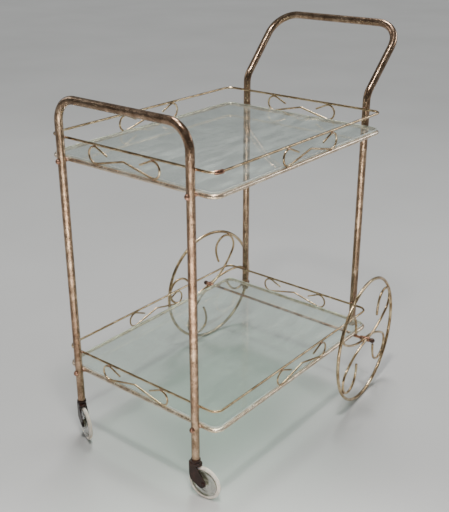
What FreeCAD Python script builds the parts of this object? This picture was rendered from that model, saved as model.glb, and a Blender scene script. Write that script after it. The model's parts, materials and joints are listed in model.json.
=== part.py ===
"""Two-tier serving trolley: two hoops of bent tube, two glass shelves, two big wheels, two casters.

+X points to the handle end, +Y to the right of whoever pushes it, +Z up, sizes in millimetres.
The origin lies on the floor, at the middle of the whole trolley's bounding box.
"""
import FreeCAD, Part
import math
import os

import Sketcher
from FreeCAD import Matrix, Placement, Rotation, Vector

# ---------------------------------------------------------------- driving dimensions

DIMENSIONS = {
    # shelves: rings of rod, measured along the rod's centre line
    "shelf_length": 535,
    "shelf_width": 400,
    "shelf_corner": 18,
    "lower_shelf_z": 151,
    "upper_shelf_z": 604,
    "ring_rod": 8,
    "rail_wire": 4.8,
    "rail_height": 41,
    "ferrule_outer": 8,
    "ferrule_run": 2,
    # glass panes, loose on the rings
    "glass_thickness": 4,
    "glass_inset": 0.8,
    "glass_bevel": 0.5,
    # gallery scrolls between ring and rail
    "scroll_wire": 3.8,
    "scroll_offset": 1.5,
    "scroll_half_width": 87,
    "scroll_peak": 22,
    "scroll_peak_bend": 4,
    "scroll_curl": 24,
    "scroll_tail": 27,
    "scroll_shift": 7,
    # hoops of bent tube
    "tube_outer": 16,
    "tube_wall": 1.2,
    "caster_leg_spacing": 317,
    "handle_leg_spacing": 314,
    "handle_width": 322,
    "caster_hoop_top": 721,
    "caster_hoop_corner": 45,
    "caster_leg_foot": 83.5,
    "handle_bend_z": 673,
    "handle_lean": 44,
    "handle_length": 179,
    "handle_corner": 56,
    "handle_bend": 34,
    "handle_leg_drop": 18,
    # studs and acorn nuts that hold the rings to the legs
    "stud_drop": 1.5,
    "stud_shank": 5,
    "stud_hole": 5.2,
    "nut_flats": 11,
    "nut_height": 5.5,
    # big wheels
    "axle_rod": 6.4,
    "axle_bend": 20,
    "rim_rod": 7.2,
    "spoke_wire": 5.6,
    "spoke_loop": 31.5,
    "spoke_spread": 35,
    "wheel_x": 223.5,
    "wheel_y": 226.5,
    "wheel_toe": 5.85,
    "hub_outer": 10.5,
    "hub_bore": 6.55,
    "hub_length": 20,
    "cap_ball": 11.5,
    "stop_outer": 10,
    "stop_length": 2.5,
    # swivel casters
    "caster_radius": 35,
    "tyre_width": 8,
    "boss_width": 12.4,
    "caster_disc": 28.4,
    "caster_trail": 20,
    "fork_width": 16.6,
    "fork_front": 13.5,
    "fork_back": 13.5,
    "fork_top": 76.2,
    "fork_slot": 13.2,
    "fork_corner": 2.5,
    "crown_corner": 6,
    "crown_depth": 6,
    "collar_outer": 19,
    "swivel_gap": 0.3,
    "horn_corner": 4,
    "stem_pin": 8,
    "stem_bore": 8.15,
    "stem_length": 38,
    "rivet_pin": 6,
    "rivet_bore": 6.12,
    "tyre_round": 3.2,
    # the way the casters trail and the wheels are rolled at rest, in degrees
    "left_caster_turn": -83,
    "right_caster_turn": -114,
    "left_wheel_turn": 1,
    "right_wheel_turn": 26,
}

doc = FreeCAD.newDocument("serving_trolley")
sheet = doc.addObject("Spreadsheet::Sheet", "dims")
for row, (word, number) in enumerate(DIMENSIONS.items(), start=1):
    sheet.set(f"A{row}", word)
    sheet.set(f"B{row}", str(number))
    sheet.setAlias(f"B{row}", word)
doc.recompute()


def dim(word):
    """The number in the sheet's cell of that name."""
    return float(sheet.get(word))


# ---------------------------------------------------------------- places worked out from them

GAP = 0.05                                   # between pieces that are brazed to each other
RUNNING_GAP = 0.4                            # between faces that turn past each other

tube_r = dim("tube_outer") / 2
ring_r = dim("ring_rod") / 2
rail_r = dim("rail_wire") / 2
wire_r = dim("scroll_wire") / 2
half_length = dim("shelf_length") / 2
half_width = dim("shelf_width") / 2
shelf_levels = {"lower": dim("lower_shelf_z"), "upper": dim("upper_shelf_z")}

leg_reach = half_length + ring_r + tube_r + 4 * GAP      # shelf middle to a leg's centre line
lean = math.radians(dim("handle_lean"))
handle_reach = leg_reach + dim("handle_length") * math.sin(lean)
longest_plus = handle_reach + tube_r
far_turn = math.radians(dim("right_caster_turn"))
wheel_reach = (dim("caster_trail") + dim("caster_radius") - dim("tyre_round")) * -math.cos(far_turn)
longest_minus = leg_reach + wheel_reach - dim("tyre_width") / 2 * math.sin(far_turn)
shelf_x = (longest_minus - longest_plus) / 2             # puts the origin mid-way along the whole

axle_z = dim("lower_shelf_z") - ring_r - dim("axle_rod") / 2
rim_radius = axle_z - dim("rim_rod") / 2
toe = math.radians(dim("wheel_toe"))

SIDES = {"left": -1, "right": 1}                         # seen by whoever pushes the handle
X, Y, Z = Vector(1, 0, 0), Vector(0, 1, 0), Vector(0, 0, 1)

sub_parts = []


def keep(obj, label):
    """Name a finished sub-part and put it on the list of files to write."""
    obj.Label = label
    sub_parts.append(obj)
    return obj


# ---------------------------------------------------------------- bent rods and tubes

def rounded_path(points, radii):
    """A wire of straight runs through the points, with an arc of its own radius at each bend."""
    edges = []
    start = points[0]
    for before, here, after, radius in zip(points, points[1:], points[2:], radii):
        back = (before - here).normalize()
        ahead = (after - here).normalize()
        half = back.getAngle(ahead) / 2
        setback = radius / math.tan(half)
        inward = (back + ahead).normalize()
        middle = here + inward * (radius / math.sin(half) - radius)
        arc_start = here + back * setback
        arc_end = here + ahead * setback
        edges.append(Part.LineSegment(start, arc_start).toShape())
        edges.append(Part.Arc(arc_start, middle, arc_end).toShape())
        start = arc_end
    edges.append(Part.LineSegment(start, points[-1]).toShape())
    return Part.Wire(edges)


class BentWire:
    """A wire bent in the XZ plane, piece by piece: straight runs, and arcs that turn to the left."""

    def __init__(self, start, heading):
        self.place = Vector(start[0], 0, start[1])
        self.heading = heading
        self.edges = []

    def ahead(self, turn=0.0):
        return Vector(math.cos(self.heading + turn), 0, math.sin(self.heading + turn))

    def line(self, length):
        finish = self.place + self.ahead() * length
        self.edges.append(Part.LineSegment(self.place, finish).toShape())
        self.place = finish

    def arc(self, radius, turn):
        side = math.copysign(1, turn)
        centre = self.place + self.ahead(side * math.pi / 2) * radius
        middle = centre + self.ahead(turn / 2 - side * math.pi / 2) * radius
        finish = centre + self.ahead(turn - side * math.pi / 2) * radius
        self.edges.append(Part.Arc(self.place, middle, finish).toShape())
        self.place = finish
        self.heading += turn

    def wire(self):
        return Part.Wire(self.edges)


def path_object(name, wire):
    """The centre line of a bent rod, as an object that sweeps can follow."""
    path = doc.addObject("Part::Feature", name + "_path")
    path.Shape = wire
    return path


def sweep(name, path, diameter):
    """A round rod along a path; the diameter is an expression in the sheet's words."""
    first = path.Shape.Edges[0]
    start = path.Shape.OrderedVertexes[0].Point
    along = first.tangentAt(first.FirstParameter)
    circle = doc.addObject("Part::Circle", name + "_section")
    circle.setExpression("Radius", f"({diameter}) / 2")
    circle.Placement = Placement(start, Rotation(Z, along))
    rod = doc.addObject("Part::Sweep", name)
    rod.Sections = [circle]
    rod.Spine = (path, [f"Edge{i + 1}" for i in range(len(path.Shape.Edges))])
    rod.Solid = True
    rod.Frenet = False
    return rod


def cylinder(name, diameter, height, base, axis):
    """A cylinder whose diameter and height are expressions in the sheet's words."""
    drum = doc.addObject("Part::Cylinder", name)
    drum.setExpression("Radius", f"({diameter}) / 2")
    drum.setExpression("Height", height)
    drum.Placement = Placement(base, Rotation(Z, axis))
    return drum


def cut(name, base, tools):
    """The base less all the tools."""
    joined = doc.addObject("Part::MultiFuse", name + "_openings")
    joined.Shapes = tools
    result = doc.addObject("Part::Cut", name)
    result.Base = base
    result.Tool = joined
    return result


def bent_tube(name, path, holes, axis):
    """A hollow tube along a path, drilled across for the shelf studs."""
    outer = sweep(name + "_outer", path, "dims.tube_outer")
    inner = sweep(name + "_bore", path, "dims.tube_outer - 2 * dims.tube_wall")
    drills = []
    for number, place in enumerate(holes, start=1):
        base = place - axis * dim("tube_outer")
        drill = f"{name}_drill_{number}"
        drills.append(cylinder(drill, "dims.stud_hole", "2 * dims.tube_outer", base, axis))
    return cut(name, outer, [inner] + drills)


# ---------------------------------------------------------------- bodies made from sketches

def plane_of(body, role):
    """One of a body's own origin planes."""
    return next(f for f in body.Origin.OriginFeatures if f.Role == role)


def sketch_on(body, name, role):
    """A new sketch in the body, on one of its origin planes."""
    sketch = body.newObject("Sketcher::SketchObject", name)
    sketch.AttachmentSupport = [(plane_of(body, role), "")]
    sketch.MapMode = "FlatFace"
    return sketch


def value_of(expression):
    """The number that an expression in the sheet's words stands for now."""
    words = {word: dim(word) for word in DIMENSIONS}
    text = expression
    for word in sorted(words, key=len, reverse=True):
        text = text.replace("dims." + word, repr(words[word]))
    return FreeCAD.Units.Quantity(text.replace(" ", "")).Value


def pin_point(sketch, geometry, point, across, up):
    """Tie a sketch point to the origin by two expressions; "0" ties it to the axis itself."""
    for kind, expression, axis in (("DistanceX", across, -2), ("DistanceY", up, -1)):
        if expression == "0":
            sketch.addConstraint(Sketcher.Constraint("PointOnObject", geometry, point, axis))
            continue
        number = value_of(expression)
        index = sketch.addConstraint(Sketcher.Constraint(kind, -1, 1, geometry, point, number))
        sketch.setExpression(f"Constraints[{index}]", expression)


def outline(sketch, corners):
    """A closed outline of straight lines, every corner tied to the sheet by its two expressions."""
    places = [Vector(value_of(across), value_of(up), 0) for across, up in corners]
    count = len(places)
    for i in range(count):
        sketch.addGeometry(Part.LineSegment(places[i], places[(i + 1) % count]), False)
    for i in range(count):
        sketch.addConstraint(Sketcher.Constraint("Coincident", i, 2, (i + 1) % count, 1))
    for i, (across, up) in enumerate(corners):
        pin_point(sketch, i, 1, across, up)


def circle_in(sketch, diameter, across="0", up="0"):
    """A circle whose diameter and centre are expressions in the sheet's words."""
    centre = Vector(value_of(across), value_of(up), 0)
    index = sketch.addGeometry(Part.Circle(centre, Z, value_of(diameter) / 2), False)
    size = sketch.addConstraint(Sketcher.Constraint("Diameter", index, value_of(diameter)))
    sketch.setExpression(f"Constraints[{size}]", diameter)
    pin_point(sketch, index, 3, across, up)


def new_body(name):
    return doc.addObject("PartDesign::Body", name)


def turned(name, corners):
    """A solid of revolution about its own Z axis; corners are (radius, height) expressions."""
    body = new_body(name)
    profile = sketch_on(body, name + "_profile", "XZ_Plane")
    outline(profile, corners)
    spin = body.newObject("PartDesign::Revolution", name + "_turned")
    spin.Profile = profile
    spin.ReferenceAxis = (profile, ["V_Axis"])
    spin.Angle = 360
    doc.recompute()
    return body


def pad(body, sketch, name, length, midplane=False):
    """Extrude a sketch by an expression in the sheet's words."""
    feature = body.newObject("PartDesign::Pad", name)
    feature.Profile = sketch
    feature.setExpression("Length", length)
    feature.Midplane = midplane
    doc.recompute()
    return feature


def round_edges(body, name, base, edges, size, kind="Fillet"):
    """A fillet or chamfer on the named edges of a feature, sized by an expression."""
    feature = body.newObject("PartDesign::" + kind, name)
    feature.Base = (base, edges)
    feature.setExpression("Radius" if kind == "Fillet" else "Size", size)
    doc.recompute()
    return feature


def edges_where(shape, wanted):
    """Names of the edges for which wanted(edge) is true."""
    return [f"Edge{i}" for i, edge in enumerate(shape.Edges, start=1) if wanted(edge)]


def repeat(label, source, placements):
    """Identical pieces as separate solids of one node."""
    group = doc.addObject("Part::Feature", label)
    solid = source.Shape
    copies = []
    for place in placements:
        copy = solid.copy()
        copy.Placement = place.multiply(solid.Placement)
        copies.append(copy)
    group.Shape = Part.makeCompound(copies)
    return keep(group, label)


# ---------------------------------------------------------------- hoops

def leg_points(end):
    """Centre lines of the two legs at one end of the shelves, as (x, y) pairs."""
    spacing = dim("caster_leg_spacing") if end < 0 else dim("handle_leg_spacing")
    return [(shelf_x + end * leg_reach, side * spacing / 2) for side in (-1, 1)]


def stud_places(end):
    """Where each stud crosses a leg's centre line at one end of the shelves."""
    heights = [level - dim("stud_drop") for level in shelf_levels.values()]
    return [Vector(x, y, z) for x, y in leg_points(end) for z in heights]


def make_hoops():
    (x, left), (_, right) = leg_points(-1)
    foot, top = dim("caster_leg_foot"), dim("caster_hoop_top")
    corner = dim("caster_hoop_corner")
    points = [Vector(x, left, foot), Vector(x, left, top), Vector(x, right, top), Vector(x, right, foot)]
    path = path_object("caster_end_hoop", rounded_path(points, [corner, corner]))
    keep(bent_tube("caster_end_hoop", path, stud_places(-1), X), "caster_end_hoop")

    (x, left), (_, right) = leg_points(1)
    foot = dim("lower_shelf_z") - dim("handle_leg_drop")
    knee = dim("handle_bend_z")
    grip_x = shelf_x + handle_reach
    grip_y = dim("handle_width") / 2
    grip_z = knee + dim("handle_length") * math.cos(lean)
    bend, corner = dim("handle_bend"), dim("handle_corner")
    points = [
        Vector(x, left, foot),
        Vector(x, left, knee),
        Vector(grip_x, -grip_y, grip_z),
        Vector(grip_x, grip_y, grip_z),
        Vector(x, right, knee),
        Vector(x, right, foot),
    ]
    path = path_object("handle_end_hoop", rounded_path(points, [bend, corner, corner, bend]))
    keep(bent_tube("handle_end_hoop", path, stud_places(1), X), "handle_end_hoop")


def make_leg_plugs():
    """Domed plugs that close the handle legs' lower ends."""
    plug = turned("leg_plug", [
        ("0", "-2.5"),
        ("dims.tube_outer / 2 - 3", "-2.5"),
        ("dims.tube_outer / 2", "-1"),
        ("dims.tube_outer / 2", "0"),
        ("dims.tube_outer / 2 - dims.tube_wall", "0"),
        ("dims.tube_outer / 2 - dims.tube_wall", "6"),
        ("0", "6"),
    ])
    foot = dim("lower_shelf_z") - dim("handle_leg_drop")
    repeat("handle_leg_plugs", plug, [Placement(Vector(x, y, foot), Rotation()) for x, y in leg_points(1)])


# ---------------------------------------------------------------- shelves

def shelf_outline(level, grow=0.0):
    """A shelf's rounded rectangle at one level, starting half-way along a long side."""
    across, along = half_width + grow, half_length + grow
    points = [
        Vector(shelf_x, -across, level),
        Vector(shelf_x + along, -across, level),
        Vector(shelf_x + along, across, level),
        Vector(shelf_x - along, across, level),
        Vector(shelf_x - along, -across, level),
    ]
    corner = dim("shelf_corner") + grow
    return rounded_path(points + [points[0]], [corner] * 4)


def make_rings_and_rails():
    for tier, level in shelf_levels.items():
        ring_path = path_object(f"{tier}_shelf_ring", shelf_outline(level))
        keep(sweep(f"{tier}_shelf_ring", ring_path, "dims.ring_rod"), f"{tier}_shelf_ring")
        rail_path = path_object(f"{tier}_gallery_rail", shelf_outline(level + dim("rail_height")))
        keep(sweep(f"{tier}_gallery_rail", rail_path, "dims.rail_wire"), f"{tier}_gallery_rail")


def make_ferrule():
    """The sleeve over the upper rail's two ends, bent round the near half of a corner."""
    corner = dim("shelf_corner")
    level = dim("upper_shelf_z") + dim("rail_height")
    centre = Vector(shelf_x - half_length + corner, corner - half_width, level)
    angles = [math.radians(a) for a in (225, 247.5, 270)]
    start, middle, end = [centre + Vector(math.cos(a), math.sin(a), 0) * corner for a in angles]
    edges = [
        Part.Arc(start, middle, end).toShape(),
        Part.LineSegment(end, end + X * dim("ferrule_run")).toShape(),
    ]
    path = path_object("rail_ferrule", Part.Wire(edges))
    sleeve = doc.addObject("Part::Cut", "rail_ferrule")
    sleeve.Base = sweep("rail_ferrule_outer", path, "dims.ferrule_outer")
    sleeve.Tool = sweep("rail_ferrule_bore", path, "dims.rail_wire + 0.1")
    keep(sleeve, "upper_rail_ferrule")


def make_glass():
    """Bevelled panes that lie on the rings, inside the gallery scrolls."""
    for tier, level in shelf_levels.items():
        body = new_body(f"{tier}_pane")
        profile = sketch_on(body, f"{tier}_pane_profile", "XY_Plane")
        along = "dims.shelf_length / 2 - dims.glass_inset"
        across = "dims.shelf_width / 2 - dims.glass_inset"
        outline(profile, [(f"-({along})", f"-({across})"), (along, f"-({across})"),
                          (along, across), (f"-({along})", across)])
        slab = pad(body, profile, f"{tier}_pane_slab", "dims.glass_thickness")
        uprights = edges_where(slab.Shape, lambda e: abs(e.tangentAt(e.FirstParameter).z) > 0.9)
        corner = "dims.shelf_corner - dims.glass_inset"
        corners = round_edges(body, f"{tier}_pane_corners", slab, uprights, corner)
        rims = edges_where(corners.Shape, lambda e: abs(e.tangentAt(e.FirstParameter).z) < 0.1)
        round_edges(body, f"{tier}_pane_bevel", corners, rims, "dims.glass_bevel", "Chamfer")
        body.Placement = Placement(Vector(shelf_x, 0, level + ring_r), Rotation())
        keep(body, f"{tier}_glass_shelf")


def scroll_wire_path():
    """Half of the gallery scroll is bent from its peak to its tail, and the other half mirrors it."""
    lift = math.sqrt((ring_r + wire_r + GAP) ** 2 - dim("scroll_offset") ** 2)
    fall = math.sqrt((rail_r + wire_r + GAP) ** 2 - dim("scroll_offset") ** 2)
    low, high = lift, dim("rail_height") - fall
    loop = (high - low) / 2
    centre = Vector(dim("scroll_half_width") - loop, 0, low + loop)
    peak, bend = dim("scroll_peak"), dim("scroll_peak_bend")
    bend_centre = Vector(0, 0, peak - bend)
    # the straight run touches the small bend at the peak from above and the loop from below
    gap = centre - bend_centre
    slope = math.asin((bend + loop) / gap.Length) - math.atan2(gap.z, gap.x)
    run = math.sqrt(gap.Length ** 2 - (bend + loop) ** 2)
    curl = math.radians(dim("scroll_curl"))
    half = BentWire((0, peak), 0.0)
    half.arc(bend, -slope)
    half.line(run)
    half.arc(loop, slope + math.pi + curl)
    half.line(dim("scroll_tail"))
    mirror = Matrix()
    mirror.A11 = -1
    other = half.wire().transformGeometry(mirror)
    return Part.Wire(Part.__sortEdges__(other.Edges + half.wire().Edges))


def make_gallery_scrolls():
    """One scroll stands on each side of each ring; two of the four sit a little off the middle."""
    path = path_object("gallery_scroll", scroll_wire_path())
    out, shift = dim("scroll_offset"), dim("scroll_shift")
    sides = {
        "left": (Vector(shelf_x + shift, -half_width - out, 0), 0),
        "handle_end": (Vector(shelf_x + half_length + out, 0, 0), 90),
        "right": (Vector(shelf_x, half_width + out, 0), 180),
        "caster_end": (Vector(shelf_x - half_length - out, shift, 0), -90),
    }
    for tier, level in shelf_levels.items():
        for side, (place, turn) in sides.items():
            name = f"{tier}_{side}_scroll"
            wire = sweep(name, path, "dims.scroll_wire")
            wire.Placement = Placement(place + Z * level, Rotation(Z, turn))
            keep(wire, name)


# ---------------------------------------------------------------- studs and nuts

def make_fasteners():
    """Studs brazed to the rings pass through the legs and carry acorn nuts outside."""
    stud = turned("shelf_stud", [
        ("0", "0"),
        ("dims.stud_shank / 2", "0"),
        ("dims.stud_shank / 2", "dims.tube_outer + dims.nut_height / 2"),
        ("0", "dims.tube_outer + dims.nut_height / 2"),
    ])
    nut = make_acorn_nut()
    stud_spots, nut_spots = [], []
    for end in (-1, 1):
        turn = Rotation(Z, X * end)
        for spot in stud_places(end):
            stud_spots.append(Placement(spot - X * end * (tube_r + GAP), turn))
            nut_spots.append(Placement(spot + X * end * (tube_r + GAP), turn))
    repeat("shelf_studs", stud, stud_spots)
    repeat("acorn_nuts", nut, nut_spots)


def make_acorn_nut():
    """A hexagon below and a dome above, hollow for the stud's end."""
    blank = turned("acorn_dome", [
        ("0", "dims.nut_height"),
        ("0", "dims.nut_height / 2 + 0.1"),
        ("dims.stud_shank / 2", "dims.nut_height / 2 + 0.1"),
        ("dims.stud_shank / 2", "0"),
        ("dims.nut_flats / 2 * 1.12", "0"),
        ("dims.nut_flats / 2 * 1.12", "dims.nut_height * 0.42"),
        ("dims.nut_flats / 2 * 0.98", "dims.nut_height * 0.5"),
        ("dims.nut_flats / 2 * 0.9", "dims.nut_height * 0.7"),
        ("dims.nut_flats / 2 * 0.68", "dims.nut_height * 0.87"),
        ("dims.nut_flats / 2 * 0.38", "dims.nut_height * 0.97"),
    ])
    hexagon = doc.addObject("Part::Prism", "acorn_flats")
    hexagon.Polygon = 6
    hexagon.setExpression("Circumradius", "dims.nut_flats / sqrt(3)")
    hexagon.setExpression("Height", "dims.nut_height")
    nut = doc.addObject("Part::Common", "acorn_nut")
    nut.Base = blank
    nut.Tool = hexagon
    doc.recompute()
    return nut


# ---------------------------------------------------------------- big wheels

def stub_direction(side):
    """The way an axle end points: outwards, and swept back a little towards the handle."""
    return Vector(math.sin(toe), side * math.cos(toe), 0)


def hub_place(side):
    return Vector(shelf_x + dim("wheel_x"), side * dim("wheel_y"), axle_z)


def make_axle():
    """One rod under the lower ring, bent back a little outside the ring on both sides."""
    straight_y = half_width + ring_r + 4
    tip = dim("hub_length") / 2 + dim("cap_ball") * 0.6
    points = []
    for side in (-1, 1):
        hub, out = hub_place(side), stub_direction(side)
        knee = hub - out * ((dim("wheel_y") - straight_y) / math.cos(toe))
        points += [hub + out * tip, knee] if side < 0 else [knee, hub + out * tip]
    path = path_object("wheel_axle", rounded_path(points, [dim("axle_bend")] * 2))
    keep(sweep("wheel_axle", path, "dims.axle_rod"), "wheel_axle")


def spoke_path(mirrored):
    """A scroll spoke: from the hub in a long arc, round a loop that touches the rim, to a free end.

    Along +X the loop's outermost point touches the rim; a mirrored spoke curls the other way.
    """
    plane_gap = dim("spoke_wire") / 2 + GAP
    reach = (dim("spoke_wire") + dim("rim_rod")) / 2 + GAP
    loop = dim("spoke_loop")
    centre = rim_radius - math.sqrt(reach ** 2 - plane_gap ** 2) - loop
    start_angle = math.radians(-92)
    joint = Vector(centre + loop * math.cos(start_angle), 0, loop * math.sin(start_angle))
    inward = Vector(-math.cos(start_angle), 0, -math.sin(start_angle))
    long_radius = -joint.dot(joint) / (2 * joint.dot(inward))
    middle = joint + inward * long_radius
    from_hub = math.atan2(-middle.z, -middle.x)
    skip = (dim("hub_outer") / 2 + GAP) / long_radius
    first = from_hub + skip
    place = (middle.x + long_radius * math.cos(first), middle.z + long_radius * math.sin(first))
    spoke = BentWire(place, first + math.pi / 2)
    spoke.arc(long_radius, start_angle - first)
    spoke.arc(loop, math.radians(217))
    spoke.arc(2.6 * loop, math.radians(22))
    if not mirrored:
        return spoke.wire()
    mirror = Matrix()
    mirror.A33 = -1
    flipped = spoke.wire().transformGeometry(mirror)
    return Part.Wire(Part.__sortEdges__(flipped.Edges))


def make_wheel(side_name):
    """A rim, four scroll spokes in two planes and a hub."""
    side = SIDES[side_name]
    rolled = dim(f"{side_name}_wheel_turn")
    hub, out = hub_place(side), stub_direction(side)
    level = Vector(math.cos(toe), -side * math.sin(toe), 0)       # forwards in the wheel's plane
    inboard = level.cross(Z)                                      # the local Y axis, for X = level
    frame = Rotation(level, inboard * -1, Z, "ZXY")

    rim = doc.addObject("Part::Torus", f"{side_name}_wheel_rim")
    rim.Radius1 = rim_radius
    rim.setExpression("Radius2", "dims.rim_rod / 2")
    rim.Placement = Placement(hub, Rotation(Z, out))
    keep(rim, f"{side_name}_wheel_rim")

    spread = dim("spoke_spread")
    apart = dim("spoke_wire") / 2 + GAP
    for number in range(4):
        mirrored = number % 2 == 1
        turn = rolled + (-spread if mirrored else spread) + (180 if number > 1 else 0)
        name = f"{side_name}_wheel_scroll_{number + 1}"
        path = path_object(name, spoke_path(mirrored))
        spoke = sweep(name, path, "dims.spoke_wire")
        shift = frame.multVec(Y) * (apart if mirrored else -apart)
        spoke.Placement = Placement(hub + shift, frame.multiply(Rotation(Y, -turn)))
        keep(spoke, name)

    body = new_body(f"{side_name}_hub_sleeve")
    profile = sketch_on(body, f"{side_name}_hub_profile", "XY_Plane")
    circle_in(profile, "dims.hub_outer")
    circle_in(profile, "dims.hub_bore")
    sleeve = pad(body, profile, f"{side_name}_hub_pad", "dims.hub_length", midplane=True)
    rims = edges_where(sleeve.Shape, lambda e: abs(e.Length - math.pi * dim("hub_outer")) < 0.1)
    round_edges(body, f"{side_name}_hub_rims", sleeve, rims, "dims.hub_outer / 20")
    body.Placement = Placement(hub, Rotation(Z, out))
    keep(body, f"{side_name}_wheel_hub")


def make_axle_ends():
    """A ball cap pressed on each axle end, and a stop ring inboard of each hub."""
    cap_base = dim("hub_length") / 2 + RUNNING_GAP
    ball = "dims.cap_ball / 2"
    for side_name, side in SIDES.items():
        cap = turned(f"{side_name}_cap", [
            ("dims.axle_rod / 2", "0"),
            (f"{ball} * 0.72", "0"),
            (f"{ball} * 0.93", f"{ball} * 0.45"),
            (ball, f"{ball} * 0.9"),
            (f"{ball} * 0.92", f"{ball} * 1.3"),
            (f"{ball} * 0.7", f"{ball} * 1.62"),
            (f"{ball} * 0.38", f"{ball} * 1.84"),
            ("0", f"{ball} * 1.92"),
            ("0", "dims.cap_ball * 0.6 - 0.4 + 0.1"),
            ("dims.axle_rod / 2", "dims.cap_ball * 0.6 - 0.4 + 0.1"),
        ])
        out = stub_direction(side)
        cap.Placement = Placement(hub_place(side) + out * cap_base, Rotation(Z, out))
        keep(cap, f"{side_name}_axle_cap")
    stop = turned("axle_stop", [
        ("dims.axle_rod / 2", "0"),
        ("dims.stop_outer / 2", "0"),
        ("dims.stop_outer / 2", "dims.stop_length"),
        ("dims.axle_rod / 2", "dims.stop_length"),
    ])
    places = []
    for side in SIDES.values():
        out = stub_direction(side)
        inner_end = dim("hub_length") / 2 + RUNNING_GAP + dim("stop_length")
        places.append(Placement(hub_place(side) - out * inner_end, Rotation(Z, out)))
    repeat("axle_stop_rings", stop, places)


# ---------------------------------------------------------------- casters

def make_fork(name):
    """A pressed fork: tapered horns under a rounded crown, before the wheel's space is cut.

    It is drawn in its own frame: the swivel axis is Z, and the wheel trails towards +X.
    """
    body = new_body(name)
    profile = sketch_on(body, name + "_side", "XZ_Plane")
    outline(profile, [
        ("-dims.fork_front", "dims.fork_top"),
        ("dims.fork_back - dims.fork_width / 2", "dims.fork_top"),
        ("dims.fork_back - dims.fork_width / 2", "dims.fork_top - dims.crown_depth"),
        ("dims.caster_trail + 5.5", "dims.caster_radius + 6"),
        ("dims.caster_trail + 5.5", "dims.caster_radius - 4"),
        ("dims.caster_trail - 1", "dims.caster_radius - 9"),
        ("dims.caster_trail - 9", "dims.caster_radius - 8.5"),
        ("-dims.fork_front + 6", "dims.caster_radius + 3.5"),
        ("-dims.fork_front", "dims.caster_radius + 21"),
    ])
    block = pad(body, profile, name + "_block", "dims.fork_width", midplane=True)
    top, knee = dim("fork_top"), dim("caster_radius") + 10
    horns = edges_where(block.Shape, lambda e: abs(e.tangentAt(e.FirstParameter).y) > 0.9
                        and e.CenterOfMass.z < knee)
    rounded = round_edges(body, name + "_horns", block, horns, "dims.horn_corner")
    front = edges_where(rounded.Shape, lambda e: abs(e.tangentAt(e.FirstParameter).z) > 0.999
                        and e.CenterOfMass.x < 0)
    rounded = round_edges(body, name + "_front", rounded, front, "dims.crown_corner")
    nape = body.newObject("PartDesign::AdditiveCylinder", name + "_nape")
    nape.AttachmentSupport = [(plane_of(body, "XY_Plane"), "")]
    nape.MapMode = "FlatFace"
    nape.setExpression("Radius", "dims.fork_width / 2")
    nape.setExpression("Height", "dims.crown_depth")
    nape.setExpression(".AttachmentOffset.Base.x", "dims.fork_back - dims.fork_width / 2")
    nape.setExpression(".AttachmentOffset.Base.z", "dims.fork_top - dims.crown_depth")
    doc.recompute()
    rim = edges_where(nape.Shape, lambda e: e.CenterOfMass.z > top - 0.01)
    round_edges(body, name + "_crown", nape, rim, "dims.fork_corner")
    return body


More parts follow.
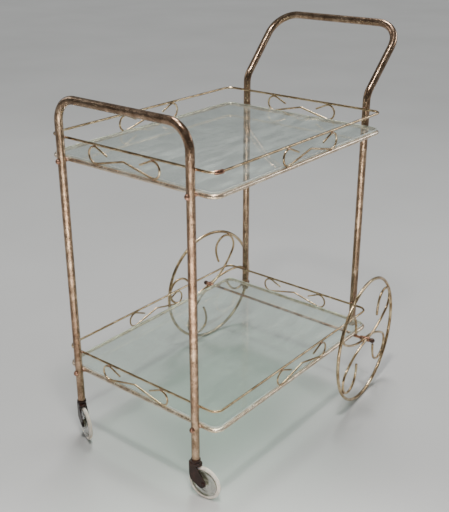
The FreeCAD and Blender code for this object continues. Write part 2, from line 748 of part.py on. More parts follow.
def make_caster(side_name):
    """One swivel caster; its turn is the way it trails at rest, in degrees from +X."""
    side = SIDES[side_name]
    turn = dim(f"{side_name}_caster_turn")
    x, y = leg_points(-1)[0 if side < 0 else 1]
    swivel = Placement(Vector(x, y, 0), Rotation(Z, turn))

    name = f"{side_name}_caster_fork"
    body = make_fork(name + "_body")
    slot = doc.addObject("Part::Cylinder", name + "_wheel_space")
    slot.setExpression("Radius", "dims.caster_radius + 2")
    slot.setExpression("Height", "dims.fork_slot")
    wheel_middle = Vector(dim("caster_trail"), 0, dim("caster_radius"))
    slot.Placement = Placement(wheel_middle + Y * (dim("fork_slot") / 2), Rotation(Z, Y * -1))
    stem_hole = cylinder(name + "_stem_hole", "dims.stem_pin", "30", Vector(0, 0, dim("fork_top") - 20), Z)
    rivet_hole = cylinder(name + "_rivet_hole", "dims.rivet_pin", "dims.fork_width + 2",
                          wheel_middle + Y * (dim("fork_width") / 2 + 1), Y * -1)
    fork = cut(name, body, [slot, stem_hole, rivet_hole])
    doc.recompute()
    fork.Placement = swivel
    keep(fork, name)

    stem = turned(f"{side_name}_stem", [
        ("0", "dims.fork_top - 8"),
        ("dims.stem_pin / 2", "dims.fork_top - 8"),
        ("dims.stem_pin / 2", "dims.fork_top + dims.stem_length - 1"),
        ("dims.stem_pin / 2 - 1", "dims.fork_top + dims.stem_length"),
        ("0", "dims.fork_top + dims.stem_length"),
    ])
    stem.Placement = swivel
    keep(stem, f"{side_name}_caster_stem")

    socket = turned(f"{side_name}_socket", [
        ("dims.stem_bore / 2", "dims.fork_top + dims.swivel_gap - dims.caster_leg_foot"),
        ("dims.collar_outer / 2 - 1", "dims.fork_top + dims.swivel_gap - dims.caster_leg_foot"),
        ("dims.collar_outer / 2", "dims.fork_top + dims.swivel_gap + 1.5 - dims.caster_leg_foot"),
        ("dims.collar_outer / 2", "-1.4"),
        ("dims.tube_outer / 2 + 0.7", "0"),
        ("dims.tube_outer / 2 - dims.tube_wall", "0"),
        ("dims.tube_outer / 2 - dims.tube_wall", "dims.stem_length - 6"),
        ("dims.stem_bore / 2", "dims.stem_length - 6"),
    ])
    socket.Placement = Placement(Vector(x, y, dim("caster_leg_foot")), Rotation())
    keep(socket, f"{side_name}_caster_socket")

    across = Rotation(Z, turn).multVec(Y)
    wheel_at = Placement(swivel.multVec(wheel_middle), Rotation(Z, across))
    disc = turned(f"{side_name}_disc", [
        ("dims.rivet_bore / 2", "-dims.boss_width / 2"),
        ("8", "-dims.boss_width / 2"),
        ("9.5", "-dims.boss_width / 2 + 1.6"),
        ("11", "-1.8"),
        ("dims.caster_disc - 3.5", "-1.8"),
        ("dims.caster_disc", "-dims.tyre_width / 2 + 0.8"),
        ("dims.caster_disc", "dims.tyre_width / 2 - 0.8"),
        ("dims.caster_disc - 3.5", "1.8"),
        ("11", "1.8"),
        ("9.5", "dims.boss_width / 2 - 1.6"),
        ("8", "dims.boss_width / 2"),
        ("dims.rivet_bore / 2", "dims.boss_width / 2"),
    ])
    disc.Placement = wheel_at
    keep(disc, f"{side_name}_caster_disc")

    tyre = turned(f"{side_name}_tyre", [
        ("dims.caster_disc", "-dims.tyre_width / 2"),
        ("dims.caster_radius - dims.tyre_round", "-dims.tyre_width / 2"),
        ("dims.caster_radius - 1", "-dims.tyre_width / 2 + 1.4"),
        ("dims.caster_radius", "-dims.tyre_width / 2 + 3.2"),
        ("dims.caster_radius", "dims.tyre_width / 2 - 3.2"),
        ("dims.caster_radius - 1", "dims.tyre_width / 2 - 1.4"),
        ("dims.caster_radius - dims.tyre_round", "dims.tyre_width / 2"),
        ("dims.caster_disc", "dims.tyre_width / 2"),
    ])
    tyre.Placement = wheel_at
    keep(tyre, f"{side_name}_caster_tyre")

    half = f"dims.fork_width / 2 + {GAP}"
    rivet = turned(f"{side_name}_rivet", [
        ("0", f"-({half}) - 1.8"),
        ("dims.rivet_pin / 2 + 0.6", f"-({half}) - 1.8"),
        ("dims.rivet_pin / 2 + 2", f"-({half}) - 0.7"),
        ("dims.rivet_pin / 2 + 2", f"-({half})"),
        ("dims.rivet_pin / 2", f"-({half})"),
        ("dims.rivet_pin / 2", half),
        ("dims.rivet_pin / 2 + 2", half),
        ("dims.rivet_pin / 2 + 2", f"{half} + 0.7"),
        ("dims.rivet_pin / 2 + 0.6", f"{half} + 1.8"),
        ("0", f"{half} + 1.8"),
    ])
    rivet.Placement = wheel_at
    keep(rivet, f"{side_name}_caster_rivet")


# ---------------------------------------------------------------- build, check and write

make_hoops()
make_leg_plugs()
make_rings_and_rails()
make_ferrule()
make_glass()
make_gallery_scrolls()
make_fasteners()
make_axle()
for name in SIDES:
    make_wheel(name)
    make_caster(name)
make_axle_ends()
doc.recompute()

for obj in doc.Objects:
    if "Invalid" in obj.State or "Error" in obj.State:
        raise RuntimeError(f"{obj.Label} did not recompute: {obj.State}")
for obj in sub_parts:
    if obj.Shape.isNull() or not obj.Shape.isValid() or not obj.Shape.Solids:
        raise RuntimeError(f"{obj.Label} has no valid solid")

os.makedirs("parts", exist_ok=True)
for obj in sub_parts:
    obj.Shape.exportStep(f"parts/{obj.Label}.step")
    print(f"{obj.Label}: {len(obj.Shape.Solids)} solid(s), {obj.Shape.Volume / 1000:.2f} cm3")
whole = Part.makeCompound([obj.Shape for obj in sub_parts]).optimalBoundingBox()
print(f"{len(sub_parts)} nodes, X {whole.XMin:.2f} {whole.XMax:.2f}, Y {whole.YMin:.2f} {whole.YMax:.2f}, "
      f"Z {whole.ZMin:.2f} {whole.ZMax:.2f}")
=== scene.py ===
"""Looks of the two-tier serving trolley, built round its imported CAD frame. Metres, same axes."""
import json
import math

import bmesh
import bpy
from mathutils import Matrix, Vector, noise


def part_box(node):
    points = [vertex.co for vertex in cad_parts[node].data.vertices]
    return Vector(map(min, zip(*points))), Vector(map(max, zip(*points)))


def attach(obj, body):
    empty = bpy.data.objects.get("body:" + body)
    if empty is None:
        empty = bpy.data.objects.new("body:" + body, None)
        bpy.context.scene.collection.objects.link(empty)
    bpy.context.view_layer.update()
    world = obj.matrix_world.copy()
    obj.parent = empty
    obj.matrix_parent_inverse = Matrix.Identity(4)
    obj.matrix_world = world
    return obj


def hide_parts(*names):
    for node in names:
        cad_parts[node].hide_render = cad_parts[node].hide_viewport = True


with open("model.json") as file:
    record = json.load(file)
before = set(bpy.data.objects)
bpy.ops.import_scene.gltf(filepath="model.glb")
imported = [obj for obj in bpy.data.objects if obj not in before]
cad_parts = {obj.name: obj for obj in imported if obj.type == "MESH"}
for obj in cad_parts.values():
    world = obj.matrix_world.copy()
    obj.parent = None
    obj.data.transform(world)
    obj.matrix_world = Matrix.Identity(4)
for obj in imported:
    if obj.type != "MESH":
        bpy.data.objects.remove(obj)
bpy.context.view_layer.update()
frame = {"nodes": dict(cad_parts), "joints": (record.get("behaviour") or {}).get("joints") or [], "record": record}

nodes = frame["nodes"]
X, Y, Z = Vector((1, 0, 0)), Vector((0, 1, 0)), Vector((0, 0, 1))
TUBE_R = 0.008
LEG_GAP = 0.0002  # between a leg and the rings
STUD_DROP = 0.0015  # how far the studs sit below the rings' middle


# ---------------------------------------------------------------- places read from the frame

def box(node):
    """The lowest and highest corner of a node's box."""
    low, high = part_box(node)
    return Vector(low), Vector(high)


def middle(node):
    low, high = box(node)
    return (low + high) / 2


def joint(name):
    """The frame's joint of this name."""
    return next(j for j in frame["joints"] if j["name"] == name)


ring_low, ring_high = box("upper_shelf_ring")
shelf_x = (ring_low.x + ring_high.x) / 2
ring_r = (ring_high.z - ring_low.z) / 2
half_length = (ring_high.x - ring_low.x) / 2 - ring_r
half_width = (ring_high.y - ring_low.y) / 2 - ring_r
ring_z = {tier: middle(f"{tier}_shelf_ring").z for tier in ("lower", "upper")}
rail_z = {tier: middle(f"{tier}_gallery_rail").z for tier in ("lower", "upper")}

# Legs stand at shelf_x ± leg_reach, and at ± leg_half of their end: -1 the caster end, 1 the handle end.
leg_reach = half_length + ring_r + TUBE_R + LEG_GAP
leg_half = {-1: abs(middle("left_caster_socket").y), 1: box("handle_leg_plugs")[1].y - TUBE_R}


# ---------------------------------------------------------------- materials

class Finish:
    """A node material built up step by step round one Principled shader."""

    def __init__(self, name):
        self.material = bpy.data.materials.new(name)
        self.material.use_nodes = True
        self.tree = self.material.node_tree
        self.shader = self.tree.nodes["Principled BSDF"]
        self.place = self.tree.nodes.new("ShaderNodeTexCoord").outputs["Object"]

    def node(self, kind, settings=None, **links):
        made = self.tree.nodes.new("ShaderNode" + kind)
        for word, value in (settings or {}).items():
            setattr(made, word, value)
        for word, value in links.items():
            self.put(made.inputs[word.replace("_", " ")], value)
        return made

    def put(self, socket, value):
        if isinstance(value, bpy.types.NodeSocket):
            self.tree.links.new(value, socket)
        else:
            socket.default_value = value

    def noise(self, scale, detail, roughness=0.55, stretch=None):
        """Noise fixed to the object; stretch scales it along each axis."""
        place = self.place
        if stretch:
            place = self.node("Mapping", Vector=self.place, Scale=stretch).outputs[0]
        return self.node("TexNoise", Vector=place, Scale=scale, Detail=detail,
                         Roughness=roughness).outputs["Fac"]

    def ramp(self, factor, stops):
        made = self.node("ValToRGB", Fac=factor)
        ramp = made.color_ramp
        while len(ramp.elements) < len(stops):
            ramp.elements.new(0.5)
        for element, (place, value) in zip(ramp.elements, stops):
            element.position = place
            element.color = (value, value, value, 1) if isinstance(value, float) else (*value, 1)
        return made.outputs["Color"]

    def mix(self, factor, a, b, blend_type="MIX"):
        """Two colours mixed; inputs 6 and 7 and output 2 are the Mix node's colour sockets."""
        made = self.node("Mix", {"data_type": "RGBA", "blend_type": blend_type})
        self.put(made.inputs[0], factor)
        self.put(made.inputs[6], a if isinstance(a, bpy.types.NodeSocket) else (*a, 1))
        self.put(made.inputs[7], b if isinstance(b, bpy.types.NodeSocket) else (*b, 1))
        return made.outputs[2]

    def blend(self, factor, one, two):
        """Two shaders mixed."""
        made = self.node("MixShader", Fac=factor)
        self.put(made.inputs[1], one.outputs[0])
        self.put(made.inputs[2], two.outputs[0])
        return made

    def maths(self, operation, a, b, clamp=False):
        made = self.node("Math", {"operation": operation, "use_clamp": clamp})
        self.put(made.inputs[0], a)
        self.put(made.inputs[1], b)
        return made.outputs[0]

    def spread(self, factor, low, high):
        return self.node("MapRange", Value=factor, To_Min=low, To_Max=high).outputs[0]

    def bump(self, height, distance, strength):
        made = self.node("Bump", Height=height, Distance=distance, Strength=strength)
        self.put(self.shader.inputs["Normal"], made.outputs[0])

    def set(self, **values):
        for word, value in values.items():
            self.put(self.shader.inputs[word.replace("_", " ")], value)
        return self.material


def aged_plate(name, bright, tone, dull, tarnish, rough, speckle, patch, metal, copper=0.0):
    """Old brass or copper plate on steel: cloudy patches, dark specks, and worn bright spots.

    patch is the clouds' noise scale, speckle how strong the tarnish is, metal how metallic the plate is,
    and copper how far broad patches of it redden.
    """
    look = Finish(name)
    clouds = look.noise(patch, 4.0, 0.6)
    fine = look.noise(patch * 9, 3.0, 0.6)
    colour = look.ramp(clouds, [(0.30, dull), (0.48, tone), (0.66, bright)])
    reddened = look.maths("MULTIPLY", look.ramp(look.noise(5.5, 3.0), [(0.42, 0.0), (0.60, 1.0)]), copper)
    colour = look.mix(reddened, colour, (1.0, 0.80, 0.76), "MULTIPLY")
    colour = look.mix(look.ramp(fine, [(0.45, 0.0), (0.75, 0.5)]), colour, bright)
    grain = look.noise(patch * 13, 3.0, 0.7)
    where = look.maths("MULTIPLY", look.ramp(grain, [(0.50, 0.0), (0.60, 1.0)]),
                       look.ramp(look.noise(patch * 1.6, 2.0), [(0.40, 0.15), (0.62, 1.0)]))
    where = look.maths("MULTIPLY", where, speckle, True)
    colour = look.mix(where, colour, tarnish)
    roughness = look.maths("ADD", look.spread(fine, rough - 0.06, rough + 0.12),
                           look.maths("MULTIPLY", where, 0.3), True)
    plated = look.maths("SUBTRACT", metal, look.maths("MULTIPLY", where, 0.4), True)
    look.bump(look.maths("SUBTRACT", fine, where), 0.00012, 0.5)
    return look.set(Base_Color=colour, Metallic=plated, Roughness=roughness)


def enamel():
    """Dark brown lacquer on the casters, rubbed through to copper in small places."""
    look = Finish("dark_enamel")
    clouds = look.noise(90, 4.0)
    colour = look.ramp(clouds, [(0.3, (0.012, 0.004, 0.002)), (0.55, (0.028, 0.010, 0.006)),
                                (0.75, (0.070, 0.026, 0.016))])
    rub = look.ramp(look.noise(260, 5.0, 0.7), [(0.64, 0.0), (0.72, 0.7)])
    colour = look.mix(rub, colour, (0.17, 0.08, 0.055))
    look.bump(look.noise(700, 2.0), 0.0001, 0.4)
    return look.set(Base_Color=colour, Metallic=0.0, Roughness=look.spread(clouds, 0.28, 0.44),
                    Specular_IOR_Level=0.3)


def cream_rubber():
    """Yellowed cream rubber with dirt in small spots."""
    look = Finish("cream_tyre")
    clouds = look.noise(70, 4.0)
    colour = look.ramp(clouds, [(0.3, (0.80, 0.66, 0.52)), (0.5, (0.93, 0.84, 0.73)),
                                (0.7, (0.96, 0.88, 0.80))])
    dirt = look.ramp(look.noise(420, 4.0, 0.7), [(0.56, 0.0), (0.74, 0.75)])
    colour = look.mix(dirt, colour, (0.34, 0.26, 0.18))
    look.bump(look.noise(1500, 2.0), 0.00008, 0.5)
    return look.set(Base_Color=colour, Roughness=look.spread(clouds, 0.42, 0.66), Subsurface_Weight=0.08,
                    Subsurface_Radius=(0.004, 0.003, 0.002), Subsurface_Scale=1.0)


def cloudy_plastic():
    """The casters' greyish, partly see-through wheel discs; their dark olive grey is partly their smoky plastic,
    partly painted shade.
    """
    look = Finish("wheel_disc")
    clouds = look.noise(60, 4.0)
    # Partly painted shade: these colours are darker and more olive than the discs' own smoky grey plastic.
    colour = look.ramp(clouds, [(0.3, (0.13, 0.13, 0.085)), (0.55, (0.23, 0.225, 0.155)),
                                (0.75, (0.34, 0.33, 0.24))])
    look.bump(look.noise(900, 2.0), 0.00006, 0.5)
    return look.set(Base_Color=colour, Roughness=look.spread(clouds, 0.14, 0.26), IOR=1.45,
                    Transmission_Weight=0.4)


def pane_glass():
    """Clear float glass with wiped streaks, a light haze of dust, and whitish edges that are a painted highlight.
    """
    look = Finish("pane_glass")
    streaks = look.ramp(look.noise(11, 4.0, 0.6, (1.0, 4.5, 1.0)), [(0.46, 0.0), (0.62, 1.0)])
    smears = look.maths("MULTIPLY", streaks, look.ramp(look.noise(3.2, 2.0), [(0.40, 0.1), (0.60, 1.0)]))
    dust = look.ramp(look.noise(30, 5.0, 0.65), [(0.35, 0.01), (0.7, 0.055)])
    haze = look.maths("ADD", dust, look.maths("MULTIPLY", smears, 0.10))
    look.set(Base_Color=(0.88, 0.955, 0.91, 1), Roughness=look.spread(haze, 0.0, 0.10), IOR=1.68,
             Transmission_Weight=1.0)
    look.bump(look.noise(9, 2.0), 0.0004, 0.12)
    dust_haze_and_edge_highlight = look.node("BsdfDiffuse", Color=(0.88, 0.92, 0.86, 1))
    # Painted highlight: the panes' upright edge faces turn up to 80% whitish diffuse, where the bevels would catch
    # the light.
    upright = look.node("SeparateXYZ", Vector=look.node("NewGeometry").outputs["True Normal"]).outputs["Z"]
    painted_edge_highlight = look.node("MapRange", Value=look.maths("ABSOLUTE", upright, 0.0), From_Min=0.98, From_Max=0.9,
                       To_Min=0.0, To_Max=0.80).outputs[0]
    surface = look.blend(look.maths("MAXIMUM", haze, painted_edge_highlight), look.shader, dust_haze_and_edge_highlight)
    clear = look.node("BsdfTransparent", Color=(0.86, 0.92, 0.885, 1))
    # Diffuse rays go straight through as shadow rays do, or the lamps would light the floor below twice.
    for ray in ("Is Shadow Ray", "Is Diffuse Ray"):
        surface = look.blend(look.node("LightPath").outputs[ray], surface, clear)
    look.put(look.tree.nodes["Material Output"].inputs["Surface"], surface.outputs[0])
    return look.material


def floor_paint():
    """A plain pale floor, very slightly uneven in tone."""
    look = Finish("floor")
    clouds = look.noise(1.5, 2.0)
    colour = look.ramp(clouds, [(0.3, (0.53, 0.53, 0.515)), (0.7, (0.57, 0.57, 0.555))])
    return look.set(Base_Color=colour, Roughness=0.75)


tube_plate = aged_plate(
    "tube_plate", bright=(0.52, 0.375, 0.255), tone=(0.27, 0.178, 0.112), dull=(0.165, 0.102, 0.062),
    tarnish=(0.030, 0.018, 0.012), rough=0.17, speckle=0.8, patch=60, metal=0.96, copper=0.45)
rod_plate = aged_plate(
    "rod_plate", bright=(0.96, 0.85, 0.69), tone=(0.74, 0.58, 0.42), dull=(0.48, 0.34, 0.23),
    tarnish=(0.13, 0.075, 0.045), rough=0.22, speckle=0.5, patch=44, metal=0.9)
wire_plate = aged_plate(
    "wire_plate", bright=(0.88, 0.70, 0.44), tone=(0.44, 0.30, 0.16), dull=(0.20, 0.125, 0.06),
    tarnish=(0.045, 0.026, 0.014), rough=0.16, speckle=0.65, patch=40, metal=0.95)
copper_plate = aged_plate(
    "copper_plate", bright=(0.62, 0.36, 0.25), tone=(0.32, 0.16, 0.105), dull=(0.15, 0.07, 0.045),
    tarnish=(0.04, 0.018, 0.012), rough=0.22, speckle=0.6, patch=60, metal=0.95)
braze_metal = aged_plate(
    "braze_metal", bright=(0.66, 0.44, 0.33), tone=(0.40, 0.235, 0.16), dull=(0.20, 0.11, 0.07),
    tarnish=(0.07, 0.038, 0.025), rough=0.32, speckle=0.6, patch=120, metal=0.9)
cap_lacquer = aged_plate(
    "cap_lacquer", bright=(0.15, 0.085, 0.06), tone=(0.060, 0.030, 0.022), dull=(0.030, 0.016, 0.012),
    tarnish=(0.012, 0.008, 0.007), rough=0.18, speckle=0.6, patch=110, metal=0.4)
tyre_rubber = cream_rubber()
disc_plastic = cloudy_plastic()

FINISHES = {
    "brass_tube": tube_plate,
    "brass_rod": rod_plate,
    "brass_wire": wire_plate,
    "copper_fitting": copper_plate,
    "dark_metal": enamel(),
    "glass": pane_glass(),
    "wheel_disc": disc_plastic,
    "cream_tyre": tyre_rubber,
}
for subpart in frame["record"]["subparts"]:
    data = nodes[subpart["node"]].data
    data.materials.clear()
    data.materials.append(FINISHES[subpart["material_slot"]])


# ---------------------------------------------------------------- pieces in mesh code

def piece(name, mesh, material, body):
    """The mesh as a visible object of one material that rides on a body of the frame."""
    data = bpy.data.meshes.new(name)
    mesh.normal_update()
    mesh.to_mesh(data)
    mesh.free()
    for face in data.polygons:
        face.use_smooth = True
    obj = bpy.data.objects.new(name, data)
    bpy.context.scene.collection.objects.link(obj)
    data.materials.append(material)
    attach(obj, body)
    return obj


def bead(mesh, centre, axes, seed):
    """A braze bead: a lump with soft ripples, sized along three axes given as vectors."""
    depth, waves = 0.22, 1.7
    made = bmesh.ops.create_icosphere(mesh, subdivisions=3, radius=1.0)
    for vert in made["verts"]:
        ripple = 1 + depth * noise.noise(vert.co * waves + Vector((seed * 7.31, seed * 3.17, seed)))
        local = vert.co * ripple
        vert.co = centre + axes[0] * local.x + axes[1] * local.y + axes[2] * local.z


def legs():
    """(end, x, y) of the four legs."""
    for end in (-1, 1):
        for side in (-1, 1):
            yield end, shelf_x + end * leg_reach, side * leg_half[end]


def braze_leg_joints():
    """Where rings and rails touch the legs: a wide bead at each ring and a smaller one at each rail."""
    ring_bead = (X * 0.0030, Y * 0.0085, Z * 0.0046)
    rail_bead = (X * 0.0026, Y * 0.0052, Z * 0.0030)
    rail_inset = 0.0006
    beads = bmesh.new()
    seed = 0
    for end, x, y in legs():
        inner_face = x - end * TUBE_R
        for tier in ring_z:
            seed += 2
            bead(beads, Vector((inner_face, y, ring_z[tier])), ring_bead, seed)
            bead(beads, Vector((inner_face - end * rail_inset, y, rail_z[tier])), rail_bead, seed + 1)
    piece("leg_brazes", beads, braze_metal, "frame")


def braze_gallery_scrolls():
    """Each loop of a gallery scroll is brazed to the ring below it and the rail above it."""
    beads = bmesh.new()
    wire_r = 0.0019
    sunk = wire_r * 0.4
    for seed, tier in enumerate(ring_z):
        for side in ("left", "handle_end", "right", "caster_end"):
            low, high = box(f"{tier}_{side}_scroll")
            centre = (low + high) / 2
            loop_r = (high.z - low.z) / 2
            long_way = X if side in ("left", "right") else Y
            axes = (long_way * 0.0034, Z.cross(long_way) * 0.0023, Z * 0.0019)
            reach = (high - low).dot(long_way) / 2 - loop_r
            for way in (-1, 1):
                for height in (low.z + sunk, high.z - sunk):
                    spot = centre + long_way * (way * reach)
                    spot.z = height
                    seed += 1
                    bead(beads, spot, axes, seed)
    piece("scroll_brazes", beads, braze_metal, "frame")


def wheel_axis(side):
    """The middle and the axis of a big wheel."""
    spin = joint(f"{side}_wheel_spin")
    return Vector(spin["pos_m"]), Vector(spin["axis"])


def braze_wheel(side):
    """Each spoke is brazed to the rim at its loop and to the hub at its inner end."""
    hub, axis = wheel_axis(side)

    def radial(point):
        out = point - hub
        return out - axis * out.dot(axis)

    def distance(point):
        return radial(point).length

    rim_bead, hub_bead = 0.0028, 0.0030
    beads = bmesh.new()
    for number in range(1, 5):
        points = [vert.co for vert in nodes[f"{side}_wheel_scroll_{number}"].data.vertices]
        for spot, size in ((max(points, key=distance), rim_bead), (min(points, key=distance), hub_bead)):
            out = radial(spot).normalized()
            along = axis.cross(out)
            bead(beads, spot, (out * size * 0.8, along * size * 1.4, axis * size), number * 3)
    piece(f"{side}_wheel_brazes", beads, braze_metal, f"{side}_wheel")


def braze_axle():
    """The axle hangs under the two long sides of the lower ring, with a bead before and behind it."""
    axes = (X * 0.0032, Y * 0.0036, Z * 0.0026)
    apart = 0.0024
    beads = bmesh.new()
    for seed, side in enumerate((-1, 1)):
        spot = Vector((middle("wheel_axle").x, side * half_width, ring_z["lower"] - ring_r))
        for way in (-1, 1):
            bead(beads, spot + X * (way * apart), axes, seed + way)
    piece("axle_brazes", beads, braze_metal, "frame")


def rounded(profile, radius):
    """A (radius, height) profile with every corner between its ends rounded off."""
    steps = 4
    most = 0.48  # of a run's length, so that the roundings at its two ends don't meet
    smooth = [Vector(profile[0])]
    for before, here, after in zip(profile, profile[1:], profile[2:]):
        before, here, after = Vector(before), Vector(here), Vector(after)
        back, ahead = before - here, after - here
        start = here + back.normalized() * min(radius, back.length * most)
        end = here + ahead.normalized() * min(radius, ahead.length * most)
        for step in range(steps + 1):
            t = step / steps
            smooth.append(start * (1 - t) ** 2 + here * 2 * t * (1 - t) + end * t ** 2)
    return smooth + [Vector(profile[-1])]


POINT_R = 1e-7  # a ring of vertices smaller than this is one point


def ring_of(mesh, place, radii, height):
    """Vertices evenly round the place's own Z axis, one for each radius."""
    around = len(radii)
    if max(radii) < POINT_R:
        return [mesh.verts.new(place @ Vector((0, 0, height)))] * around
    turned = [(radius, 2 * math.pi * i / around) for i, radius in enumerate(radii)]
    return [mesh.verts.new(place @ Vector((radius * math.cos(angle), radius * math.sin(angle), height)))
            for radius, angle in turned]


def skin(mesh, rows):
    """Faces between each ring of vertices and the next."""
    around = len(rows[0])
    for one, two in zip(rows, rows[1:]):
        for i in range(around):
            j = (i + 1) % around
            face = list(dict.fromkeys([one[i], one[j], two[j], two[i]]))
            if len(face) > 2:
                mesh.faces.new(face)


def lathe(mesh, profile, place, around, closed=False):
    """Turn a (radius, height) profile about the place's own Z axis.

    The faces look outward where the profile runs up its outside, and inward where it runs down.
    """
    rows = [ring_of(mesh, place, [radius] * around, height) for radius, height in profile]
    skin(mesh, rows + rows[:1] if closed else rows)


def mirrored(half):
    """A closed profile from its upper half. It runs down its outside, so lathe's faces look inward."""
    return half + [(radius, -height) for radius, height in reversed(half)]


def standing(place, axis):
    """A placement whose Z axis points along the given axis."""
    return Matrix.Translation(place) @ Vector(axis).to_track_quat("Z", "Y").to_matrix().to_4x4()


def acorn_nut(mesh, place):
    """A chamfered hexagon with a smooth dome on it."""
    flats, seat, base, chamfer, narrowed = 0.0055, 0.0001, 0.0019, 0.0005, 0.93
    dome_r, dome_foot, dome_height, dome_steps = 0.0048, base + 0.0003, 0.0033, 8
    around = 48
    angles = [2 * math.pi * i / around for i in range(around)]
    hexagon = [flats / math.cos((angle % (math.pi / 3)) - math.pi / 6) for angle in angles]
    rows = []
    for height, share in ((seat, narrowed), (chamfer, 1.0), (base - chamfer, 1.0), (base, narrowed)):
        rows.append(ring_of(mesh, place, [reach * share for reach in hexagon], height))
    for step in range(dome_steps + 1):
        rise = step / dome_steps * math.pi / 2
        radii = [dome_r * math.cos(rise)] * around
        rows.append(ring_of(mesh, place, radii, dome_foot + dome_height * math.sin(rise)))
    skin(mesh, rows)
    mesh.faces.new(rows[0][::-1])


def make_nuts():
    """The acorn nuts on the studs' outer ends, one at each crossing of a leg and a ring."""
    seat = TUBE_R + 0.00005
    nuts = bmesh.new()
    for end, x, y in legs():
        for level in ring_z.values():
            acorn_nut(nuts, standing((x + end * seat, y, level - STUD_DROP), X * end))
    obj = piece("acorn_nut_set", nuts, copper_plate, "frame")
    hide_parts("acorn_nuts")


def caster_axis(side):
    """A placement in the middle of a caster wheel, with Z along its rivet."""
    roll = joint(f"{side}_caster_roll")
    return standing(roll["pos_m"], roll["axis"])


TYRE_R = 0.035
DISC_R = 0.0284
CASTER_HALF = 0.0040  # half the width of the tyre and of the disc's lip


def make_tyre(side):
    """A cream tyre: flat tread with round shoulders, a raised bead at the disc and a mould line."""
    half_profile = [
        (DISC_R, CASTER_HALF - 0.0012), (DISC_R + 0.0010, CASTER_HALF - 0.0003),
        (DISC_R + 0.0018, CASTER_HALF - 0.0008), (DISC_R + 0.0030, CASTER_HALF - 0.0002),
        (TYRE_R - 0.0018, CASTER_HALF - 0.0009), (TYRE_R - 0.0005, CASTER_HALF - 0.0023),
        (TYRE_R - 0.00005, 0.0009)]
    mould_line = [(TYRE_R + 0.00010, 0.0)]
    profile = half_profile + mould_line + [(radius, -height) for radius, height in reversed(half_profile)]
    tyre = bmesh.new()
    lathe(tyre, rounded(profile, 0.0010), caster_axis(side), 128, closed=True)
    obj = piece(f"{side}_cream_tyre", tyre, tyre_rubber, f"{side}_caster_wheel")
    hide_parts(f"{side}_caster_tyre")


def make_disc(side):
    """A moulded wheel disc: boss, dished web with a step, and a rim lip under the tyre."""
    bore, boss = 0.00306, 0.0062
    half_profile = [
        (bore, boss), (0.0078, boss), (0.0090, boss - 0.0012), (0.0098, boss - 0.0036),
        (0.0112, 0.0019), (0.0170, 0.0017), (0.0182, 0.0023), (0.0238, 0.0023),
        (0.0256, 0.0028), (0.0276, CASTER_HALF - 0.0002), (DISC_R, CASTER_HALF - 0.0008)]
    disc = bmesh.new()
    lathe(disc, rounded(mirrored(half_profile), 0.0007), caster_axis(side), 128, closed=True)
    obj = piece(f"{side}_moulded_disc", disc, disc_plastic, f"{side}_caster_wheel")
    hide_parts(f"{side}_caster_disc")


HUB_HALF = 0.0100  # half the length of a big wheel's hub sleeve


def hub_place(side):
    """A placement in the middle of a big wheel's hub, with Z outward along the axle."""
    place, axis = wheel_axis(side)
    return standing(place, axis if axis.y * place.y > 0 else -axis)


def make_hub(side):
    """A sleeve with rolled ends and two waist grooves."""
    bore, end_r, sleeve_r, groove_r = 0.00328, 0.0046, 0.00525, 0.0049
    half_profile = [
        (bore, HUB_HALF), (end_r, HUB_HALF), (sleeve_r, HUB_HALF - 0.0010), (sleeve_r, HUB_HALF - 0.0026),
        (groove_r, HUB_HALF - 0.0030), (sleeve_r, HUB_HALF - 0.0036)]
    sleeve = bmesh.new()
    lathe(sleeve, rounded(mirrored(half_profile)[::-1], 0.0004), hub_place(side), 64, closed=True)
    obj = piece(f"{side}_hub_sleeve", sleeve, copper_plate, f"{side}_wheel")
    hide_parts(f"{side}_wheel_hub")


def make_ball_cap(side):
    """A ball on a short neck that closes the axle's end, just outside the hub."""
    ball_r, ball_rise, base = 0.00575, 0.0054, HUB_HALF + 0.0004
    profile = [(0.0, base), (0.0040, base), (0.0043, base + 0.0006), (0.0046, base + 0.0012)]
    for degrees in range(-40, 90, 10):
        angle = math.radians(degrees)
        profile.append((ball_r * math.cos(angle), base + ball_rise + ball_r * math.sin(angle)))
    profile.append((0.0, base + ball_rise + ball_r))
    cap = bmesh.new()
    lathe(cap, profile, hub_place(side), 64)
    obj = piece(f"{side}_ball_cap", cap, cap_lacquer, "frame")
    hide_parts(f"{side}_axle_cap")


def soften(node, width):
    """Round the sharp edges of a CAD node a little, so they catch the light."""
    bevel = nodes[node].modifiers.new("edge", "BEVEL")
    bevel.width = width
    bevel.segments = 3
    bevel.limit_method = "ANGLE"
    bevel.angle_limit = math.radians(35)
    bevel.harden_normals = True


braze_leg_joints()
braze_gallery_scrolls()
braze_axle()
make_nuts()
for side in ("left", "right"):
    braze_wheel(side)
    make_hub(side)
    make_ball_cap(side)
    make_tyre(side)
    make_disc(side)
    soften(f"{side}_caster_fork", 0.0005)


# ---------------------------------------------------------------- floor, light and camera

bpy.ops.mesh.primitive_plane_add(size=60)
floor = bpy.context.object
floor.name = "floor"
floor.data.materials.append(floor_paint())

world = bpy.data.worlds.new("studio")
world.use_nodes = True
sky = world.node_tree.nodes["Background"]
sky.inputs["Color"].default_value = (0.90, 0.95, 1.0, 1)
sky.inputs["Strength"].default_value = 0.15
bpy.context.scene.world = world


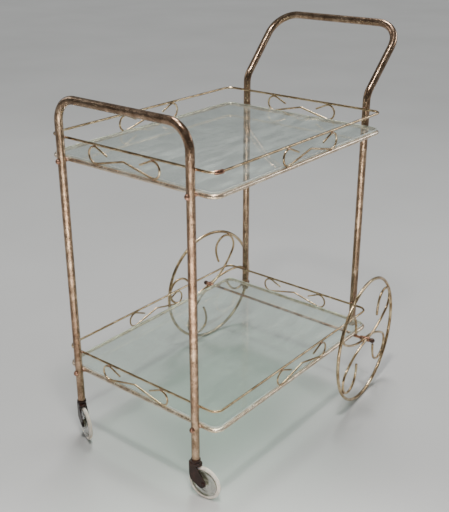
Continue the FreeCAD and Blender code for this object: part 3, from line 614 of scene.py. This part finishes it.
def softbox(name, place, aim, width, height, power, colour=(1, 1, 1), spread=180):
    """A rectangular lamp at a place, aimed at a point: watts, and its beam's spread in degrees."""
    lamp = bpy.data.lights.new(name, "AREA")
    lamp.shape = "RECTANGLE"
    lamp.size, lamp.size_y = width, height
    lamp.energy = power
    lamp.color = colour
    lamp.spread = math.radians(spread)
    obj = bpy.data.objects.new(name, lamp)
    obj.location = place
    obj.rotation_mode = "QUATERNION"
    obj.rotation_quaternion = (Vector(aim) - Vector(place)).to_track_quat("-Z", "Y")
    bpy.context.scene.collection.objects.link(obj)


softbox("key", place=(-0.7, -0.5, 2.9), aim=(0, 0, 0.4), width=0.30, height=0.30, power=40,
        colour=(1.0, 0.98, 0.96))
softbox("front_floor", place=(-1.35, -1.05, 2.3), aim=(-1.25, -0.95, 0), width=0.5, height=0.5, power=66,
        colour=(1.0, 0.98, 0.94), spread=52)
softbox("side", place=(1.8, -1.1, 1.4), aim=(0, -0.2, 0.6), width=1.4, height=0.3, power=11,
        colour=(0.94, 0.97, 1.0))
softbox("rim", place=(-0.6, 2.6, 1.9), aim=(0, 0, 0.5), width=1.0, height=1.4, power=10)

canopy = bpy.data.objects.new("canopy", bpy.data.lights.new("canopy", "SUN"))
canopy.data.energy = 1.85
canopy.data.angle = math.radians(16)
canopy.rotation_mode = "QUATERNION"
canopy.rotation_quaternion = Vector((-0.36, -0.26, -0.9)).to_track_quat("-Z", "Y")
bpy.context.scene.collection.objects.link(canopy)

# The camera, as fitted to the photograph: angles given in degrees, lens in millimetres, place in metres.
AZIMUTH, ELEVATION, ROLL = (math.radians(a) for a in (-50.910, 23.320, -0.107))
LENS = 57.794
CAMERA_PLACE = (-1.282554, -1.000034, 1.042302)
back = Vector((math.sin(AZIMUTH) * math.cos(ELEVATION), -math.cos(AZIMUTH) * math.cos(ELEVATION),
               math.sin(ELEVATION)))
right = Vector((math.cos(AZIMUTH), math.sin(AZIMUTH), 0))
up = back.cross(right)
turned_right = right * math.cos(ROLL) + up * math.sin(ROLL)
turned_up = up * math.cos(ROLL) - right * math.sin(ROLL)
camera = bpy.data.objects.new("camera", bpy.data.cameras.new("camera"))
camera.data.sensor_width = 36.0
camera.data.lens = LENS
camera.data.clip_start, camera.data.clip_end = 0.05, 200
camera.matrix_world = Matrix((turned_right, turned_up, back)).transposed().to_4x4()
camera.location = CAMERA_PLACE
bpy.context.scene.collection.objects.link(camera)
bpy.context.scene.camera = camera
